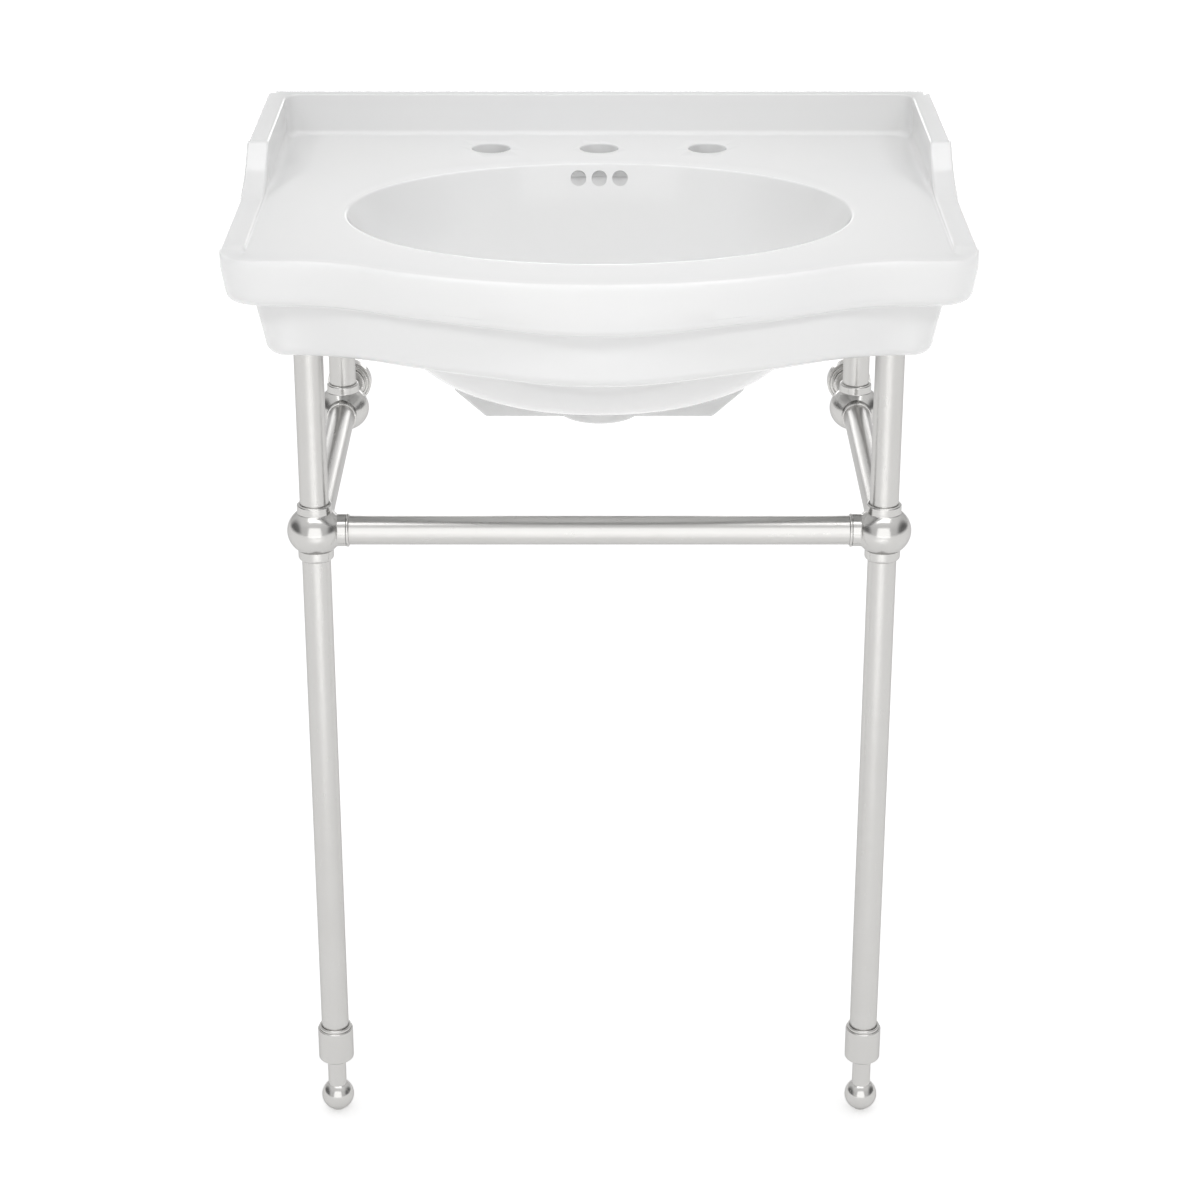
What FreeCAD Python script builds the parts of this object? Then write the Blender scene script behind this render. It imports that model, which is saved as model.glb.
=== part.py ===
import FreeCAD, Part
import math
import os
from FreeCAD import Matrix, Vector

# Console sink with legs: a white ceramic basin carried by two metal front legs
# and two short back uprights that are fixed to the wall. Millimetres, +Z up.
# Origin: on the floor, under the middle of the overall width and depth.
# The front of the basin faces -Y and the wall is the plane at the greatest Y.

# Overall sizes
overall_width = 635.0
overall_depth = 516.0
overall_height = 889.0

# Basin outline in plan
corner_radius = 25.0
corner_flat = 31.5
bow_depth = 66.0
bow_shoulder_radius = 141.0

# Basin heights
splash_rise = 31.4
ledge_step = 3.6
rim_band = 51.0
skirt_drop = 50.3
edge_crown = 5.5
crown_half_width = 140.0
deck_thickness = 13.0
shell_wall = 11.0

# Basin insets from the outline, at the side and at the front
rim_draft = 4.5
rim_plain = 14.0
skirt_side_top = 24.5
skirt_side_bottom = 36.0
skirt_front_top = 16.0
skirt_front_bottom = 24.0
skirt_flat = 3.0
rim_edge_round = 9.0
skirt_edge_round = 12.0
top_edge_round = 4.5

# Raised back and side walls
back_wall_top = 19.0
back_wall_batter = 16.0
side_wall_top = 19.0
side_wall_batter = 1.5
wall_inner_corner = 14.0
cove_radius = 7.0
high_wall_length = 191.0
sweep_drop_length = 88.0
sweep_round = 10.0
wall_end_setback = 12.0
wall_edge_round = 4.0

# Bowl
bowl_side_ledge = 96.5
bowl_front_ledge = 61.0
bowl_back_ledge = 141.0
bowl_depth = 163.0
bowl_wall = 12.0
bowl_wall_lean = 20.0
bowl_floor_slope = 2.5
bowl_bottom_round = 110.0

# Drain and overflow
drain_setback = 19.0
drain_radius = 22.5
drain_boss_radius = 38.0
drain_boss_drop = 29.0
boss_edge_round = 4.0
overflow_radius = 7.2
overflow_pitch = 19.1
overflow_depth = 14.2
overflow_count = 3
overflow_passage = 12.0
overflow_passage_width = 62.0
overflow_wall = 9.0

# Rear base that carries the back of the bowl
base_half_width = 102.0
base_side_run = 28.0
base_side_rise = 25.0
base_front_setback = 18.0
base_wall = 12.0

# Faucet holes and wall bolt holes
faucet_hole_radius = 17.5
faucet_spacing = 101.6
faucet_count = 3
faucet_wall_distance = 85.0
bolt_hole_radius = 6.5
bolt_spacing = 280.0
bolt_drop = 72.0
back_panel = 14.0

# Stand
tube_radius = 12.7
tube_wall = 1.2
leg_side_gap = 8.7
leg_front_gap = 1.2
upright_wall_distance = 82.7
rail_drop = 294.3
fit_clearance = 0.05

# Ball fittings
ball_overhang = 9.4
ball_flattening = 2.5
ball_turned_flat = 0.2
spot_face = 16.8
leg_spigot_length = 26.0
socket_web = 0.85
post_neck_wall = 2.55
post_socket_depth = 8.6
rail_neck_wall = 1.35
rail_socket_depth = 13.6
neck_fillet = 1.2

# Collars
post_collar_length = 3.6
post_collar_round = 1.9
rail_collar_wall = 1.95
rail_collar_length = 2.8
rail_collar_round = 1.2
lower_collar_wall = 2.95
lower_collar_length = 9.5
lower_collar_round = 2.6
collar_edge_break = 0.5

# Leg tops
top_pad_thickness = 6.0
top_plug_head = 4.0
top_plug_length = 22.0
top_pad_overhang = 0.8

# Feet
foot_ball_radius = 15.2
foot_flat = 1.4
foot_neck_radius = 8.6
ferrule_bottom = 56.3
ferrule_wall = 3.75
ferrule_length = 33.0
ferrule_bead_length = 3.0
ferrule_bead_inset = 1.5
ferrule_bead_round = 1.2
ferrule_foot_round = 2.4
ferrule_floor = 3.0
insert_length = 42.0
insert_counterbore = 17.0
neck_clearance = 0.4
stud_radius = 6.0
thread_pitch = 1.75
thread_depth = 0.9
thread_count = 18
stud_reach = 36.0
neck_engagement = 3.5
glide_radius = 6.2
glide_stem_radius = 3.0
glide_stem_length = 8.0
running_clearance = 0.1

# Wall plates and flanges
flange_overhang = 6.4
flange_wall = 1.7
flange_depth = 10.0
flange_face = 3.2
flange_groove = 1.2
flange_rim_width = 2.3
flange_ring_width = 2.2
flange_hub_wall = 2.4
flange_hub_length = 14.5
flange_edge_round = 0.5
plate_clearance = 0.5
plate_thickness = 4.0
plate_spigot_length = 25.0
plate_hole_radius = 2.0
plate_hole_setback = 4.55
plate_hole_count = 3

# Set screws
set_screw_radius = 2.0
set_screw_length = 3.0
set_screw_inset = 3.4
set_screw_socket_share = 0.55
flange_screw_radius = 1.5
flange_screw_setback = 2.4

# Worked out from the values above
half_width = overall_width / 2
wall_y = overall_depth / 2
front_y = -overall_depth / 2
corner_y = front_y + bow_depth
bow_half_width = half_width - corner_radius - corner_flat
bow_radius_sum = (bow_half_width**2 + bow_depth**2) / (2 * bow_depth)
bow_radius = bow_radius_sum - bow_shoulder_radius
low_rim_z = overall_height - splash_rise
deck_z = low_rim_z - ledge_step
deck_under_z = deck_z - deck_thickness
rim_bottom_z = low_rim_z - rim_band
skirt_bottom_z = rim_bottom_z - skirt_drop
bowl_half_width = half_width - bowl_side_ledge
bowl_half_depth = (overall_depth - bowl_front_ledge - bowl_back_ledge) / 2
bowl_y = front_y + bowl_front_ledge + bowl_half_depth
bowl_floor_z = deck_z - bowl_depth
drain_y = bowl_y + drain_setback
boss_bottom_z = bowl_floor_z - drain_boss_drop
faucet_y = wall_y - faucet_wall_distance
bolt_z = overall_height - bolt_drop
back_wall_foot = back_wall_top + back_wall_batter
side_wall_foot = side_wall_top + side_wall_batter
leg_x = half_width - skirt_side_bottom - shell_wall - leg_side_gap - tube_radius
leg_y = corner_y + skirt_front_bottom + shell_wall + leg_front_gap + tube_radius
upright_y = wall_y - upright_wall_distance
rail_height = overall_height - rail_drop
tube_bore = tube_radius - tube_wall
spigot_radius = tube_bore - fit_clearance
socket_radius = tube_radius + fit_clearance
socket_floor = socket_radius + socket_web
post_neck_radius = socket_radius + post_neck_wall
post_neck_length = socket_floor + post_socket_depth
rail_neck_radius = socket_radius + rail_neck_wall
rail_neck_length = socket_floor + rail_socket_depth
ball_radius = post_neck_radius + ball_overhang
ball_half_height = ball_radius - ball_flattening
rail_collar_radius = socket_radius + rail_collar_wall
lower_collar_radius = socket_radius + lower_collar_wall
ferrule_radius = socket_radius + ferrule_wall
flange_hub_radius = tube_radius + running_clearance + flange_hub_wall
flange_radius = flange_hub_radius + flange_overhang
plate_hole_circle = spigot_radius + plate_hole_setback
set_screw_offset = socket_floor + set_screw_inset
post_top_z = deck_under_z - top_pad_thickness - top_plug_head
leg_screw_offset = spot_face + (lower_collar_length - lower_collar_round) / 2 + collar_edge_break


def polar(centre, radius, angle):
    return Vector(centre.x + radius * math.cos(angle), centre.y + radius * math.sin(angle), centre.z)


def arc_edge(centre, radius, start, end):
    # Arc edge about a vertical axis, angles in radians.
    middle = (start + end) / 2
    points = [polar(centre, radius, angle) for angle in (start, middle, end)]
    return Part.Arc(*points).toShape()


def outline(side_inset, front_inset, rounding, z):
    # Plan outline of the basin: straight back and sides, rounded front corners,
    # and a front that bows forward between two short flats.
    side = half_width - side_inset
    flat_y = corner_y + front_inset
    shoulder = Vector(bow_half_width, corner_y - bow_shoulder_radius, z)
    crown = Vector(0, front_y + bow_radius, z)
    turn = math.atan2(shoulder.y - crown.y, shoulder.x - crown.x)
    shoulder_radius = bow_shoulder_radius + front_inset
    corner = Vector(side - rounding, flat_y + rounding, z)
    right = [
        Part.makeLine(Vector(0, wall_y, z), Vector(side, wall_y, z)),
        Part.makeLine(Vector(side, wall_y, z), Vector(side, corner.y, z)),
        arc_edge(corner, rounding, 0, -math.pi / 2),
        Part.makeLine(Vector(corner.x, flat_y, z), Vector(bow_half_width, flat_y, z)),
        arc_edge(shoulder, shoulder_radius, math.pi / 2, turn + math.pi),
        arc_edge(crown, bow_radius - front_inset, turn, -math.pi / 2),
    ]
    left = [edge.mirror(Vector(0, 0, 0), Vector(1, 0, 0)) for edge in right]
    return Part.Wire(Part.__sortEdges__(right + left))


def between(start, end, share):
    return start + (end - start) * share


def rim_outline(z):
    # The rim band is upright at the top and draws in below.
    share = max(0, low_rim_z - rim_plain - z) / (rim_band - rim_plain)
    inset = rim_draft * share
    return outline(inset, inset, corner_radius, z)


def skirt_outline(z, wall):
    # The skirt under the rim, or with a wall its inner face.
    share = (rim_bottom_z - z) / skirt_drop
    side_inset = between(skirt_side_top, skirt_side_bottom, share) + wall
    front_inset = between(skirt_front_top, skirt_front_bottom, share) + wall
    rounding = half_width - side_inset - bow_half_width - skirt_flat
    return outline(side_inset, front_inset, rounding, z)


def loft(wires):
    return Part.makeLoft(wires, True, True)


def prism(wire, height):
    return Part.Face(wire).extrude(Vector(0, 0, height))


def cylinder(base, direction, radius, length):
    return Part.makeCylinder(radius, length, base, direction)


def box(low, high):
    size = high - low
    return Part.makeBox(size.x, size.y, size.z, low)


def lower_edges(solid, z):
    # Edges of the underside, without the one along the wall.
    low = [edge for edge in solid.Edges if edge.BoundBox.ZMax < z]
    return [edge for edge in low if edge.BoundBox.YMin < wall_y - 1]


def crown_cutter(z):
    # Everything below a lower edge that dips at the middle and is level beyond.
    reach = half_width + shell_wall
    low = z - skirt_drop
    middle = Vector(0, 0, z)
    side = Vector(0, crown_half_width, z + edge_crown)
    mirrored = Vector(0, -crown_half_width, z + edge_crown)
    curve = s_curve(side, middle, None) + s_curve(mirrored, middle, None)
    corners = [
        side,
        Vector(0, reach, side.z),
        Vector(0, reach, low),
        Vector(0, -reach, low),
        Vector(0, -reach, side.z),
        mirrored,
    ]
    outline_edges = curve + Part.makePolygon(corners).Edges
    face = Part.Face(Part.Wire(Part.__sortEdges__(outline_edges)))
    solid = face.extrude(Vector(2 * overall_depth, 0, 0))
    solid.translate(Vector(-overall_depth, 0, 0))
    solid.rotate(Vector(0, 0, 0), Vector(0, 0, 1), 90)
    return solid


def banded(wires, edge_z, rounding):
    # A lofted band whose lower edge is crowned and rounded.
    solid = loft(wires).cut(crown_cutter(edge_z))
    return solid.makeFillet(rounding, lower_edges(solid, edge_z + edge_crown + 0.5))


def s_curve(start, end, start_round):
    # Two tangent arcs in the plane X = start.x, level at both ends, from a high
    # point to a low one; with no radius for the first the two are equal.
    run = abs(end.y - start.y)
    rise = start.z - end.z
    total = (run**2 + rise**2) / (2 * rise)
    if start_round is None:
        start_round = total / 2
    turn = 2 * math.atan(rise / run)
    toward = math.copysign(1, end.y - start.y)
    end_round = total - start_round

    def on_arc(base, radius, angle, up):
        along = toward * up * radius * math.sin(angle)
        return base + Vector(0, along, -up * radius * (1 - math.cos(angle)))

    meet = on_arc(start, start_round, turn, 1)
    first = Part.Arc(start, on_arc(start, start_round, turn / 2, 1), meet).toShape()
    second = Part.Arc(meet, on_arc(end, end_round, turn / 2, -1), end).toShape()
    return [first, second]


def sweep_cutter():
    # What is cut off the side walls in front: they sweep down to the low rim.
    reach = half_width + shell_wall
    high = Vector(-reach, wall_y - high_wall_length, overall_height)
    low = Vector(-reach, high.y - sweep_drop_length, low_rim_z)
    top = overall_height + splash_rise
    front = front_y - shell_wall
    corners = [
        low,
        Vector(-reach, front, low_rim_z),
        Vector(-reach, front, top),
        Vector(-reach, high.y, top),
        high,
    ]
    face = Part.Face(Part.Wire(s_curve(high, low, sweep_round) + Part.makePolygon(corners).Edges))
    return face.extrude(Vector(2 * reach, 0, 0))


def recess_outline(z):
    # The deck between the raised walls, at one height; open at the front.
    share = (z - deck_z) / (overall_height - deck_z)
    side = half_width - between(side_wall_foot, side_wall_top, share)
    back = wall_y - between(back_wall_foot, back_wall_top, share)
    front = front_y - shell_wall
    rounding = wall_inner_corner
    edges = [
        Part.makeLine(Vector(-side, front, z), Vector(side, front, z)),
        Part.makeLine(Vector(side, front, z), Vector(side, back - rounding, z)),
        arc_edge(Vector(side - rounding, back - rounding, z), rounding, 0, math.pi / 2),
        Part.makeLine(Vector(side - rounding, back, z), Vector(rounding - side, back, z)),
        arc_edge(Vector(rounding - side, back - rounding, z), rounding, math.pi / 2, math.pi),
        Part.makeLine(Vector(-side, back - rounding, z), Vector(-side, front, z)),
    ]
    return Part.Wire(edges)


def recess_cutter():
    solid = loft([recess_outline(deck_z), recess_outline(overall_height + splash_rise)])
    foot = [edge for edge in solid.Edges if edge.BoundBox.ZMax < deck_z + 1]
    foot = [edge for edge in foot if edge.BoundBox.YMax > front_y]
    return solid.makeFillet(cove_radius, foot)


def raised_walls():
    # Back wall and swept side walls, on a thin slab that sinks into the deck.
    slab_z = deck_z - top_edge_round - 1
    solid = prism(outline(0, 0, corner_radius, slab_z), overall_height - slab_z)
    sweep = sweep_cutter()
    solid = solid.cut(sweep).cut(recess_cutter())
    inside = outline(-shell_wall, wall_end_setback, corner_radius, slab_z)
    solid = solid.common(prism(inside, overall_height - slab_z))
    rounded = [edge for edge in solid.Edges if is_wall_top(edge, sweep)]
    return solid.makeFillet(wall_edge_round, rounded)


def middle_of(edge):
    return edge.valueAt(sum(edge.ParameterRange) / 2)


def is_wall_top(edge, sweep):
    # Top edges of the raised walls, without the one along the wall of the room
    # and the seams that cross the top from side to side.
    point = middle_of(edge)
    if point.y > wall_y - 1:
        return False
    is_level_high = abs(point.z - overall_height) < 0.01
    if not is_level_high and sweep.distToShape(Part.Vertex(point))[0] > 0.01:
        return False
    return edge.BoundBox.YLength > 1 or point.y > faucet_y


def tangent_meet(corner, towards_start, towards_end, radius):
    # Where an arc of this radius leaves two straight lines that meet at a corner.
    turn = math.pi - towards_start.getAngle(towards_end)
    reach = radius * math.tan(turn / 2)
    start = corner + towards_start * reach
    end = corner + towards_end * reach
    bisector = (towards_start + towards_end).normalize()
    centre = corner + bisector * (radius / math.cos(turn / 2))
    middle = centre - bisector * radius
    return start, middle, end


def bowl_solid(offset):
    # The bowl's inside, or with an offset a shape that much larger all round:
    # a cone with a rounded bottom, squashed to an oval and leaned to the drain.
    lean = math.radians(bowl_wall_lean)
    slope = math.radians(bowl_floor_slope)
    rim_radius = bowl_half_width + offset / math.cos(lean)
    floor_z = -bowl_depth - offset
    up = Vector(math.sin(lean), 0, math.cos(lean))
    inward = Vector(-math.cos(slope), 0, -math.sin(slope))
    rim = Vector(rim_radius, 0, 0)
    centre = Vector(0, 0, floor_z)
    steps = (rim_radius * math.cos(lean) + floor_z * math.sin(lean)) / math.cos(lean - slope)
    corner = centre - inward * steps
    start, middle, end = tangent_meet(corner, up, inward, bowl_bottom_round + offset)
    above = Vector(rim_radius, 0, splash_rise)
    top = Vector(0, 0, splash_rise)
    profile = Part.Wire([
        Part.makeLine(centre, end),
        Part.Arc(end, middle, start).toShape(),
        Part.makeLine(start, rim),
        Part.makeLine(rim, above),
        Part.makeLine(above, top),
        Part.makeLine(top, centre),
    ])
    solid = Part.Face(profile).revolve(Vector(0, 0, 0), Vector(0, 0, 1), 360)
    squash = (bowl_half_depth + offset / math.cos(lean)) / rim_radius
    shape = Matrix()
    shape.A22 = squash
    shape.A23 = -drain_setback / bowl_depth
    solid = solid.transformGeometry(shape)
    solid.translate(Vector(0, bowl_y, deck_z))
    return solid


def base_section(half, bottom, top):
    # Front view of the rear base: a narrow foot that widens to upright sides.
    wide = half + base_side_run
    shoulder = bottom + base_side_rise
    corners = [
        Vector(-half, 0, bottom),
        Vector(half, 0, bottom),
        Vector(wide, 0, shoulder),
        Vector(wide, 0, top),
        Vector(-wide, 0, top),
        Vector(-wide, 0, shoulder),
        Vector(-half, 0, bottom),
    ]
    return Part.Face(Part.makePolygon(corners))


def rear_base():
    # Hollow box behind and under the bowl; its underside is open.
    front = drain_y - base_front_setback
    top = deck_z - 1
    outer = base_section(base_half_width, boss_bottom_z, top)
    outer.translate(Vector(0, front, 0))
    solid = outer.extrude(Vector(0, wall_y - front, 0))
    inner = base_section(base_half_width - base_wall, boss_bottom_z, deck_under_z)
    hollow_front = drain_y + drain_boss_radius
    inner.translate(Vector(0, hollow_front, 0))
    hollow = inner.extrude(Vector(0, wall_y - back_panel - hollow_front, 0))
    return solid.cut(hollow)


def overflow_block(width, front, low):
    high = Vector(width / 2, wall_y - back_panel, deck_under_z)
    return box(Vector(-width / 2, front, low), high)


def overflow_hump():
    # The casing of the overflow passage, down the back of the bowl.
    outside = bowl_wall + overflow_passage + overflow_wall
    width = overflow_passage_width + 2 * overflow_wall
    return bowl_solid(outside).common(overflow_block(width, drain_y, boss_bottom_z))


def overflow_hollow():
    low = boss_bottom_z + overflow_wall / 2
    hollow = bowl_solid(bowl_wall + overflow_passage)
    return hollow.common(overflow_block(overflow_passage_width, drain_y, low))


def row_positions(count, pitch):
    return [(index - (count - 1) / 2) * pitch for index in range(count)]


def basin_holes():
    up = Vector(0, 0, 1)
    holes = [cylinder(Vector(0, drain_y, boss_bottom_z - 1), up, drain_radius, bowl_depth)]
    for x in row_positions(faucet_count, faucet_spacing):
        base = Vector(x, faucet_y, deck_under_z - 1)
        holes.append(cylinder(base, Vector(0, 0, 1), faucet_hole_radius, deck_thickness + 2))
    for x in row_positions(2, bolt_spacing):
        base = Vector(x, wall_y - back_panel - 1, bolt_z)
        holes.append(cylinder(base, Vector(0, 1, 0), bolt_hole_radius, back_panel + 2))
    lean = math.radians(bowl_wall_lean)
    outward = Vector(0, math.cos(lean), -math.sin(lean))
    for x in row_positions(overflow_count, overflow_pitch):
        base = Vector(x, bowl_y + bowl_half_depth, deck_z - overflow_depth) - outward * 2 * bowl_wall
        holes.append(cylinder(base, outward, overflow_radius, 4 * bowl_wall))
    return holes


def across(front, back, low, high):
    # A block as wide as the basin.
    return box(Vector(-half_width, front, low), Vector(half_width, back, high))


def deck_slab(bottom):
    slab = prism(outline(0, 0, corner_radius, bottom), deck_z - bottom)
    top = [edge for edge in slab.Edges if edge.BoundBox.ZMin > deck_z - 1]
    rounded = [edge for edge in top if edge.BoundBox.YMin < wall_y - 1]
    return slab.makeFillet(top_edge_round, rounded)


def drain_boss():
    base = Vector(0, drain_y, boss_bottom_z)
    boss = cylinder(base, Vector(0, 0, 1), drain_boss_radius, drain_boss_drop)
    low = [edge for edge in boss.Edges if edge.BoundBox.ZMax < boss_bottom_z + 1]
    return boss.makeFillet(boss_edge_round, low)


def basin():
    below = rim_bottom_z - rim_edge_round
    top_z = low_rim_z - rim_plain
    rim = banded([rim_outline(top_z), rim_outline(below)], rim_bottom_z, rim_edge_round)
    low = skirt_bottom_z - skirt_edge_round
    skirt_outlines = [skirt_outline(top_z, 0), skirt_outline(low, 0)]
    skirt = banded(skirt_outlines, skirt_bottom_z, skirt_edge_round)
    body = rim.fuse([skirt, deck_slab(top_z)])
    hollow = loft([skirt_outline(low, shell_wall), skirt_outline(deck_under_z, shell_wall)])
    hollow = hollow.cut(across(wall_y - back_panel, wall_y, low, deck_z))
    body = body.cut(hollow)
    bowl = bowl_solid(bowl_wall).common(across(front_y, wall_y, boss_bottom_z, deck_z - 1))
    body = body.fuse([rear_base(), overflow_hump(), raised_walls()])
    body = body.cut(overflow_hollow()).fuse([bowl, drain_boss()])
    return body.cut(bowl_solid(0)).cut(basin_holes())


def place(solid, base, direction):
    # Moves a shape made along +Z from the origin to its base and direction.
    solid.Placement = FreeCAD.Placement(base, FreeCAD.Rotation(Vector(0, 0, 1), direction))
    return solid


def turned(points):
    # Solid of revolution about Z from a closed outline of (radius, height) points.
    corners = [Vector(radius, 0, height) for radius, height in points]
    face = Part.Face(Part.makePolygon(corners + corners[:1]))
    return face.revolve(Vector(0, 0, 0), Vector(0, 0, 1), 360)


def round_edges(solid):
    edges = [edge for edge in solid.Edges if not edge.Degenerated]
    return [edge for edge in edges if edge.Curve.TypeId == "Part::GeomCircle"]


def round_rims(solid, rounding, rims):
    # Rounds the round edges with these (radius, height).
    chosen = []
    for edge in round_edges(solid):
        for radius, height in rims:
            if abs(edge.Curve.Radius - radius) < 0.01 and abs(edge.Curve.Center.z - height) < 0.01:
                chosen.append(edge)
    return solid.makeFillet(rounding, chosen)


def ring(outer, inner, length):
    return turned([(inner, 0), (outer, 0), (outer, length), (inner, length)])


def pipe(start, end):
    direction = end - start
    solid = ring(tube_radius, tube_bore, direction.Length)
    return place(solid, start, direction)


def set_screw(tip, outward, radius, length):
    # Grub screw whose tip rests on the tube, with a hexagon socket in the other end.
    size = radius * set_screw_socket_share
    corners = []
    for step in range(7):
        angle = math.radians(60 * step)
        corners.append(Vector(size * math.cos(angle), size * math.sin(angle), length / 2))
    socket = Part.Face(Part.makePolygon(corners)).extrude(Vector(0, 0, length))
    return place(Part.makeCylinder(radius, length).cut(socket), tip, outward)


# The ports of the left ball fittings: which way each points, what it carries, and
# which way its set screw points.
def front_ports():
    up = Vector(0, 0, 1)
    inner = Vector(1, 0, 0)
    back = Vector(0, 1, 0)
    return [
        (up, "post", inner + back),
        (-up, "leg", inner + back),
        (inner, "rail", back - up),
        (back, "rail", inner - up),
    ]


def back_ports():
    up = Vector(0, 0, 1)
    outer = Vector(-1, 0, 0)
    back = Vector(0, 1, 0)
    return [(up, "post", outer + back), (-back, "rail", -up), (back, "rail", -up)]


def neck_size(kind):
    if kind == "post":
        return post_neck_radius, post_neck_length
    return rail_neck_radius, rail_neck_length


def ball_body():
    # Ball a little flatter than it is wide, with a small turned flat at each pole.
    reach = math.asin(1 - ball_turned_flat / ball_half_height)
    ellipse = Part.Ellipse(Vector(0, 0, 0), ball_radius, ball_half_height)
    bulge = Part.Edge(ellipse.toShape().Curve, -reach, reach)
    low = bulge.valueAt(-reach)
    high = bulge.valueAt(reach)
    corners = [high, Vector(0, high.y, 0), Vector(0, low.y, 0), low]
    profile = Part.Wire([bulge] + Part.makePolygon(corners).Edges)
    solid = Part.Face(profile).revolve(Vector(0, 0, 0), Vector(0, 1, 0), 360)
    solid.rotate(Vector(0, 0, 0), Vector(1, 0, 0), 90)
    return solid


def is_neck_join(edge, direction, kind):
    # Whether an edge lies all along a neck's side and short of its outer end.
    if edge.Degenerated or edge.Curve.TypeId == "Part::GeomLine":
        return False
    radius, length = neck_size(kind)
    first, last = edge.ParameterRange
    for share in (first, between(first, last, 0.5), last):
        point = edge.valueAt(share)
        along = point.dot(direction)
        is_beside = abs((point - direction * along).Length - radius) < 0.01
        if not is_beside or not 0 < along < length - 0.1:
            return False
    return True


def neck_joins(ball, ports):
    # Edges where the necks leave the ball.
    joins = []
    for direction, kind, screw in ports:
        if kind != "leg":
            joins += [edge for edge in ball.Edges if is_neck_join(edge, direction, kind)]
    return joins


def ball_fitting(centre, ports):
    # Solid ball with a socket for each rail and post, a neck round the socket where
    # the collar stands off, and a flat with a spigot for the lower leg.
    necks = []
    cuts = []
    spigots = []
    for direction, kind, screw in ports:
        floor = direction * socket_floor
        if kind == "leg":
            cuts.append(cylinder(direction * spot_face, direction, ball_radius, ball_radius))
            spigots.append(cylinder(floor, direction, spigot_radius, leg_spigot_length))
            continue
        radius, length = neck_size(kind)
        necks.append(cylinder(Vector(), direction, radius, length))
        cuts.append(cylinder(floor, direction, socket_radius, ball_radius))
        start = direction * set_screw_offset
        cuts.append(cylinder(start, screw, set_screw_radius + fit_clearance, ball_radius))
    ball = ball_body().fuse(necks)
    ball = ball.makeFillet(neck_fillet, neck_joins(ball, ports)).cut(cuts)
    if spigots:
        ball = ball.fuse(spigots)
    ball.translate(centre)
    return ball


def fitting_screws(centre, ports):
    screws = []
    for direction, kind, screw in ports:
        outward = Vector(screw).normalize()
        along = leg_screw_offset if kind == "leg" else set_screw_offset
        tip = centre + direction * along + outward * tube_radius
        screws.append(set_screw(tip, outward, set_screw_radius, set_screw_length))
    return screws


def post_collar(centre):
    solid = ring(post_neck_radius, socket_radius, post_collar_length)
    solid = round_rims(solid, post_collar_round, [(post_neck_radius, post_collar_length)])
    return place(solid, centre + Vector(0, 0, post_neck_length), Vector(0, 0, 1))


def rail_collar(centre, direction):
    solid = ring(rail_collar_radius, socket_radius, rail_collar_length)
    rims = [(rail_collar_radius, 0), (rail_collar_radius, rail_collar_length)]
    solid = round_rims(solid, rail_collar_round, rims)
    return place(solid, centre + direction * rail_neck_length, direction)


def leg_collar(centre, screw):
    # Collar of the lower leg; its set screw presses the tube on to the spigot.
    solid = ring(lower_collar_radius, socket_radius, lower_collar_length)
    solid = round_rims(solid, lower_collar_round, [(lower_collar_radius, lower_collar_length)])
    solid = round_rims(solid, collar_edge_break, [(lower_collar_radius, 0)])
    solid = place(solid, centre - Vector(0, 0, spot_face), Vector(0, 0, -1))
    start = centre - Vector(0, 0, leg_screw_offset)
    return solid.cut(cylinder(start, screw, set_screw_radius + fit_clearance, ball_radius))


def foot_ferrule(x, y):
    # Sleeve on the foot of the leg, with a stepped bead on top and a floor below
    # that the foot's neck passes through.
    bead = ferrule_radius - ferrule_bead_inset
    top = ferrule_length + ferrule_bead_length
    solid = turned([
        (foot_neck_radius + neck_clearance, 0),
        (ferrule_radius, 0),
        (ferrule_radius, ferrule_length),
        (bead, ferrule_length),
        (bead, top),
        (socket_radius, top),
        (socket_radius, ferrule_floor),
        (foot_neck_radius + neck_clearance, ferrule_floor),
    ])
    solid = round_rims(solid, ferrule_foot_round, [(ferrule_radius, 0)])
    solid = round_rims(solid, ferrule_bead_round, [(ferrule_radius, ferrule_length), (bead, top)])
    return place(solid, Vector(x, y, ferrule_bottom), Vector(0, 0, 1))


def foot_insert(x, y):
    # Plug in the foot of the tube, bored for the threaded stud and wider below
    # for the foot's neck.
    wide = foot_neck_radius + neck_clearance
    narrow = stud_radius + running_clearance
    solid = turned([
        (wide, 0),
        (spigot_radius, 0),
        (spigot_radius, insert_length),
        (narrow, insert_length),
        (narrow, insert_counterbore),
        (wide, insert_counterbore),
    ])
    return place(solid, Vector(x, y, ferrule_bottom + ferrule_floor), Vector(0, 0, 1))


def leveling_foot(x, y):
    # Ball, neck and threaded stud in one piece; it screws into the leg's insert.
    neck_top = ferrule_bottom + ferrule_floor + neck_engagement
    stud_top = neck_top + stud_reach
    root = stud_radius - thread_depth
    thread_start = stud_top - thread_pitch * (thread_count + 0.5)
    points = [(0, foot_ball_radius), (foot_neck_radius, foot_ball_radius)]
    points += [(foot_neck_radius, neck_top), (root, neck_top), (root, thread_start)]
    for turn in range(thread_count):
        height = thread_start + turn * thread_pitch
        points += [(stud_radius, height + thread_pitch / 2), (root, height + thread_pitch)]
    points += [(root, stud_top), (0, stud_top)]
    ball = Part.makeSphere(foot_ball_radius, Vector(0, 0, foot_ball_radius))
    joined = ball.fuse(turned(points))
    below = Part.makeCylinder(foot_ball_radius, foot_flat)
    stem = Part.makeCylinder(glide_stem_radius, foot_flat + glide_stem_length)
    solid = joined.cut([below, stem])
    return place(solid, Vector(x, y, 0), Vector(0, 0, 1))


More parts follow.
